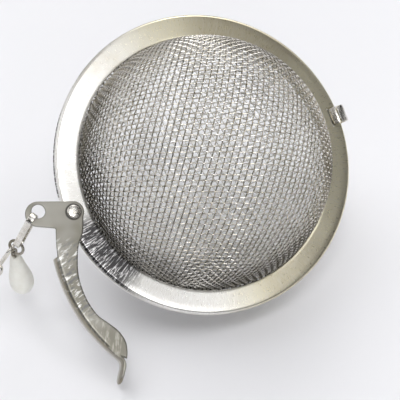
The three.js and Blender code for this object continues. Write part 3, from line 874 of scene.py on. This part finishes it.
def make_link():
    radius = LINK_LOOP_RADIUS + LINK_STRIP[1] / 2
    path = arc(0, 0, radius, 90, 270, 20) + arc(LINK_LENGTH, 0, radius, 270, 450, 20)
    section = soft_strip(*LINK_STRIP, 0.09)
    link = swept("strap_link_strip", even_path(path, 0.16, True), section, True)
    place = hanging("strap_link", "link_swing")
    settle(link, place, "link", BRIGHT_STEEL, ["strap_link"])


def make_ring():
    path = stadium(RING_RADIUS, RING_RADIUS, 0.0, BUTT_GAP)
    ring = swept("split_ring", even_path(path, 0.15, False), disc(RING_WIRE, 14), False)
    place = hanging("connector_ring", "ring_swing")
    settle(ring, place, "ring", BROWNED_STEEL, ["connector_ring"], 50)


def make_pendant():
    pivot = joint_point("pendant_swing")
    up = pivot - middle("pendant_drop")
    flat = thin_way("pendant_eye")
    eye_place = Place(pivot, -up, flat)
    stem = EYE_RADIUS + 0.9 + EYE_STEM
    loop = arc(0, 0, EYE_RADIUS, 14, 340, 40)
    path = [(stem, 0.0), (EYE_RADIUS + 0.62, 0.0), (EYE_RADIUS + 0.16, 0.1)] + loop
    eye = swept("drop_eye", even_path(smooth_path(path, 4), 0.08, False), disc(EYE_WIRE, 12), False)
    settle(eye, eye_place, "pendant", BROWNED_STEEL, ["pendant_eye"], 50)
    profile = [(0.0, DROP_TOP - DROP_LENGTH)]
    turns, rib = DROP_RIBS
    for i in range(1, DROP_ROWS + 1):
        share = i / DROP_ROWS
        swell = math.sin(math.pi * share**0.62) ** 0.8 if share < 1 else 0.0
        radius = DROP_RADIUS * swell * (1 - 0.25 * share) + 0.95 * share**3
        ribbed = min(1.0, max(0.0, (share - DROP_RIBBED_FROM) / 0.05))
        ribs = rib * math.cos(2 * math.pi * share * turns) * ribbed
        profile.append((radius + ribs - 0.02, DROP_TOP - DROP_LENGTH * (1 - share)))
    profile += [(0.9, DROP_TOP + 0.06), (0.45, DROP_TOP + 0.02)]
    profile += [(0.3, DROP_TOP - 0.15), (0.0, DROP_TOP - 0.2)]
    drop = spun("drop_bead", profile, 64)
    place = Place(pivot, flat, up)
    settle(drop, place, "pendant", MILKY_PLASTIC, ["pendant_drop"], 0)


def spun(name, profile, steps):
    """A profile that starts and ends on the axis, turned round Z into a closed body."""
    ring = [p for p in profile if p[0] > 1e-6]
    angles = np.linspace(0, 2 * np.pi, steps, endpoint=False)
    points = [(r * math.cos(a), r * math.sin(a), z) for r, z in ring for a in angles]
    count = len(ring)
    faces = [f[::-1] for f in ring_faces(count, steps, False, True)]
    bottom, top = len(points), len(points) + 1
    points += [(0, 0, profile[0][1]), (0, 0, profile[-1][1])]
    for i in range(steps):
        after = (i + 1) % steps
        faces.append((bottom, after, i))
        faces.append((top, (count - 1) * steps + i, (count - 1) * steps + after))
    return outward(new_object(name, points, faces))


def outward(thing):
    """Turns every face to look out of the body."""
    mesh = bmesh.new()
    mesh.from_mesh(thing.data)
    bmesh.ops.recalc_face_normals(mesh, faces=mesh.faces)
    mesh.to_mesh(thing.data)
    mesh.free()
    return thing


def make_hinge_strap():
    path = arc(0, 0, STRAP_RADIUS + STRAP_STRIP[1] / 2, -96, 256, 72)
    strap = swept("hinge_strap_loop", path, soft_strip(*STRAP_STRIP, 0.1), False)
    place = Place(BALL.out([(RIM_RADIUS, 0, 0)])[0], BALL.axes[0], BALL.axes[1])
    settle(strap, place, "lower_half", BRIGHT_STEEL, ["hinge_strap"])


RIVET_HEAD = 1.3
RIVET_GAP = 0.16  # between the lever's top and the head
RIVET_FOOT_GAP = 0.2  # between the rim's sheet and the riveted-over foot


def make_rivet():
    low = LEVER_TOP + RIVET_GAP
    foot = RIM_TOP - RIM_SHEET - RIVET_FOOT_GAP
    profile = [(0, foot - 0.25), (0.85, foot - 0.25), (0.85, foot), (0.6, foot), (0.6, low)]
    edge = RIVET_HEAD - 0.14
    profile += [(edge, low)] + arc(RIVET_HEAD - 0.16, low + 0.2, 0.16, -70, 60, 6)
    profile += [(edge, low + 0.37), (RIVET_HEAD - 0.3, low + 0.43)]
    profile += [(0.5, low + 0.46), (0, low + 0.47)]
    rivet = spun("rivet_head_and_shank", profile, 56)
    settle(rivet, RIVET, "upper_half", BRIGHT_STEEL, ["latch_rivet"], 40)


# ---- latch lever -----------------------------------------------------------------------
# Drawn shut, with the rivet at the origin and the ball's centre at x = RIVET_RADIUS.

LEVER_OUTER_RADIUS = 32.65
LEVER_PLATE_RADIUS = 32.3
LEVER_WALL = (195.9, 237.0)
LEVER_EYE = (-6.66, -0.47)
LEVER_EYE_HOLE = 1.3
LEVER_END = (-6.72, -1.0)  # middle of the plate's round end
LEVER_END_RADIUS = 2.42
LEVER_CORNER = (-3.15, -3.42)
LEVER_BOSS = 2.1
LEVER_BEND = 0.8  # outside of the bend between plate and wall
LEVER_FLOOR = -LEVER_TOP
LEVER_INNER_EDGE = [  # radius and angle round the ball, from the rivet to the tab
    (26.8, 188), (27.9, 193), (28.7, 198.6), (29.4, 204), (29.8, 209.7), (29.95, 215),
    (29.8, 220.5), (29.1, 225.5), (28.8, 230), (29.4, 234.4), (30.7, 237.1), (31.9, 238.4),
]
TAB_TIP = (10.95, -31.95)
LEVER_VOXEL = 0.11
LEVER_SMOOTHING = 5  # passes


def round_ball(radius, degrees):
    a = math.radians(degrees)
    return (RIVET_RADIUS + radius * math.cos(a), radius * math.sin(a))


def lever_plate():
    ex, ey = LEVER_EYE
    outline = arc(0, 0, LEVER_BOSS, 90, -20, 24)
    edge = smooth_path([outline[-1]] + [round_ball(*p) for p in LEVER_INNER_EDGE], 14)
    outline += [tuple(p) for p in edge[1:]]
    outline += arc(RIVET_RADIUS, 0, LEVER_OUTER_RADIUS - 0.75, 236.9, LEVER_WALL[0], 60)
    shoulder = [(LEVER_PLATE_RADIUS, LEVER_WALL[0]), (32.1, 191), (31.95, 187)]
    shoulder = [round_ball(*p) for p in shoulder] + [LEVER_CORNER]
    outline += smooth_path(shoulder, 6).tolist()
    outline += arc(*LEVER_END, LEVER_END_RADIUS, -90, -264, 48)
    plate = outward(slab("plate", outline, LEVER_LOW, LEVER_TOP))
    hole = round_bar("hole", LEVER_EYE_HOLE, LEVER_LOW - 1, LEVER_TOP + 1, ex, ey, 64)
    return cut(plate, hole, round_bar("hole", 0.95, LEVER_LOW - 1, LEVER_TOP + 1, steps=48))


def lever_channel():
    """The bend, the wall and the floor of the channel, one section after another round the ball."""
    start, end = LEVER_WALL
    rows = 90
    points = []
    inner_bend = LEVER_BEND - LEVER_SHEET
    corner = LEVER_OUTER_RADIUS - LEVER_BEND
    for i in range(rows):
        share = i / (rows - 1)
        angle = math.radians(start + (end - 0.6 - start) * share)
        flap = min(1.0, share / 0.1, (1 - share) / 0.08)
        floor_edge = corner - 0.25 - 1.6 * math.sin(flap * math.pi / 2)
        section = [(corner - 0.5, LEVER_TOP)]
        section += arc(corner, LEVER_TOP - LEVER_BEND, LEVER_BEND, 90, 0, 9)
        section += arc(corner, LEVER_FLOOR + LEVER_BEND, LEVER_BEND, 0, -90, 9)
        section += [(floor_edge, LEVER_FLOOR), (floor_edge, LEVER_FLOOR + LEVER_SHEET)]
        section += arc(corner, LEVER_FLOOR + LEVER_BEND, inner_bend, -90, 0, 4)
        section += arc(corner, LEVER_TOP - LEVER_BEND, inner_bend, 0, 90, 4)
        section += [(corner - 0.5, LEVER_LOW)]
        for radius, z in section:
            points.append((RIVET_RADIUS + radius * math.cos(angle), radius * math.sin(angle), z))
    columns = len(section)
    faces = ring_faces(rows, columns, False, True)
    faces += end_faces(rows, columns)
    return outward(new_object("channel", points, faces))


def lever_tab():
    """The wall's end, turned outward into the thumb tab, with a round tip."""
    middle_radius = LEVER_OUTER_RADIUS - LEVER_SHEET / 2
    path = [round_ball(middle_radius, a) for a in np.linspace(231, 236.6, 8)]
    bend = round_ball(middle_radius, 238.6)
    t = np.linspace(0, 1, 14)[1:, None]
    near = np.array((bend[0] - 0.2, bend[1] - 1.4))
    curve = (1 - t) ** 2 * np.array(path[-1]) + 2 * t * (1 - t) * np.array(bend) + t**2 * near
    path = even_path(path + [tuple(p) for p in curve] + [TAB_TIP], 0.2, False)
    s = length_along(path)
    side = side_of(np.gradient(path, axis=0))
    section = np.array(soft_strip(1.0, 1.0, 0.12, 2))
    points = []
    for p, n, rest in zip(path, side, s[-1] - s):
        tip = 1 - min(1.0, (rest + 0.15) / 2.2)
        tall = (LEVER_TOP - LEVER_FLOOR) * math.sqrt(min(1.0, 1 - tip**2))
        wide = LEVER_SHEET * (0.45 + 0.55 * min(1.0, rest / 0.6))
        points += [(p[0] + o * wide * n[0], p[1] + o * wide * n[1], u * tall) for o, u in section]
    rows, columns = len(path), len(section)
    faces = ring_faces(rows, columns, False, True)
    faces += end_faces(rows, columns)
    return outward(new_object("tab", points, faces))


def merged(name, things):
    """One object of several bodies; the bodies' own objects are removed."""
    mesh = bmesh.new()
    for thing in things:
        mesh.from_mesh(thing.data)
    both = bpy.data.meshes.new(name)
    mesh.to_mesh(both)
    mesh.free()
    for thing in things:
        bpy.data.objects.remove(thing)
    made = bpy.data.objects.new(name, both)
    bpy.context.scene.collection.objects.link(made)
    return made


def make_lever():
    """The plate, channel and tab, made one body and smoothed where they meet."""
    lever = merged("pressed_lever", [lever_plate(), lever_channel(), lever_tab()])
    modify(lever, "REMESH", mode="VOXEL", voxel_size=LEVER_VOXEL)
    modify(lever, "SMOOTH", factor=0.5, iterations=LEVER_SMOOTHING)
    settle(lever, LEVER, "latch", LEVER_STEEL, ["latch_lever"], 0)


make_hinge_strap()
make_rivet()
make_lever()
make_link()
make_ring()
make_pendant()
make_chain()
make_hook()

# ---- floor and light -------------------------------------------------------------------


FLOOR_REACH = 3  # metres


def make_floor():
    n = Nodes("floor_paper")
    tone = n.noise(n.add("ShaderNodeTexCoord").outputs["Object"], 3.0, 2.0)
    color = n.mix(tone, (0.86, 0.86, 0.89), (0.88, 0.88, 0.91))
    material = n.finish(color, 0.85, Specular_IOR_Level=0.2)
    corners = [(-FLOOR_REACH, -FLOOR_REACH, 0), (FLOOR_REACH, -FLOOR_REACH, 0)]
    corners += [(FLOOR_REACH, FLOOR_REACH, 0), (-FLOOR_REACH, FLOOR_REACH, 0)]
    floor = new_object("floor", corners, [(0, 1, 2, 3)])
    floor.data.materials.append(material)


make_floor()

# direction, inner and outer half angle in degrees, and radiance of each soft light
ROOM_LIGHTS = [
    ((0.0, -0.3, 0.95), 4, 16, 5.57),
    ((0.45, -0.1, 0.89), 4, 16, 2.59),
    ((0.75, -0.6, 0.3), 4, 16, 1.05),
    ((0.0, 0.34, 0.94), 8, 28, 0.67),
    ((-0.43, 0.25, 0.87), 8, 28, 2.16),
    ((-0.13, 0.75, 0.64), 8, 28, 0.03),
    ((0.82, 0.0, 0.57), 8, 28, 0.43),
    ((-0.0, -0.91, 0.42), 8, 28, 1.68),
    ((0.72, 0.6, 0.34), 8, 28, 0.28),
    ((0.0, 0.97, 0.26), 8, 28, 3.97),
]
METAL_LIGHTS = [
    ((0.25, -0.34, 0.9), 4, 16, 1.46),
    ((0.2, -0.65, 0.73), 4, 16, 6.43),
    ((0.0, 0.34, 0.94), 8, 28, 0.36),
    ((-0.43, 0.25, 0.87), 8, 28, 0.37),
    ((-0.43, -0.25, 0.87), 8, 28, 0.6),
    ((-0.13, 0.75, 0.64), 8, 28, 0.99),
    ((-0.77, 0.28, 0.57), 8, 28, 0.95),
    ((-0.77, -0.28, 0.57), 8, 28, 1.29),
    ((0.35, 0.61, 0.71), 8, 28, 3.06),
    ((0.43, 0.25, 0.87), 8, 28, 0.66),
    ((0.66, -0.56, 0.5), 8, 28, 0.11),
    ((0.98, 0.0, 0.17), 8, 28, 0.43),
]
ROOM_BASE = 0.18
METAL_BASE = 0.0
BACKDROP = (0.86, 0.86, 0.89, 1)


def soft_sky(tree, lights, base):
    """The sum of soft round lights on the sky, as one background shader."""
    place = tree.nodes.new("ShaderNodeTexCoord").outputs["Generated"]
    total = None
    for direction, inner, outer, light in lights:
        dot = tree.nodes.new("ShaderNodeVectorMath")
        dot.operation = "DOT_PRODUCT"
        tree.links.new(place, dot.inputs[0])
        dot.inputs[1].default_value = Vector(direction).normalized()
        ramp = tree.nodes.new("ShaderNodeMapRange")
        ramp.interpolation_type = "SMOOTHSTEP"
        tree.links.new(dot.outputs["Value"], ramp.inputs[0])
        ramp.inputs[1].default_value = math.cos(math.radians(outer))
        ramp.inputs[2].default_value = math.cos(math.radians(inner))
        ramp.inputs[4].default_value = light
        join = tree.nodes.new("ShaderNodeMath")
        join.operation = "ADD"
        tree.links.new(ramp.outputs[0], join.inputs[0])
        if total is None:
            join.inputs[1].default_value = base
        else:
            tree.links.new(total, join.inputs[1])
        total = join.outputs[0]
    sky = tree.nodes.new("ShaderNodeBackground")
    tree.links.new(total, sky.inputs[0])
    return sky.outputs[0]


def choice(tree, share, first, second):
    """The first shader, or the second where share is 1."""
    mix = tree.nodes.new("ShaderNodeMixShader")
    for socket, source in zip(mix.inputs, (share, first, second)):
        tree.links.new(source, socket)
    return mix.outputs[0]


def make_world():
    world = bpy.data.worlds.new("studio")
    bpy.context.scene.world = world
    world.use_nodes = True
    world.cycles.sampling_method = "NONE"
    tree = world.node_tree
    tree.nodes.clear()
    rays = tree.nodes.new("ShaderNodeLightPath").outputs
    room = soft_sky(tree, ROOM_LIGHTS, ROOM_BASE)
    metal = soft_sky(tree, METAL_LIGHTS, METAL_BASE)
    backdrop = tree.nodes.new("ShaderNodeBackground")
    backdrop.inputs[0].default_value = BACKDROP
    lit = choice(tree, rays["Is Glossy Ray"], room, metal)
    out = tree.nodes.new("ShaderNodeOutputWorld")
    tree.links.new(choice(tree, rays["Is Camera Ray"], lit, backdrop.outputs[0]), out.inputs[0])


make_world()
bpy.context.scene.view_settings.view_transform = "Standard"
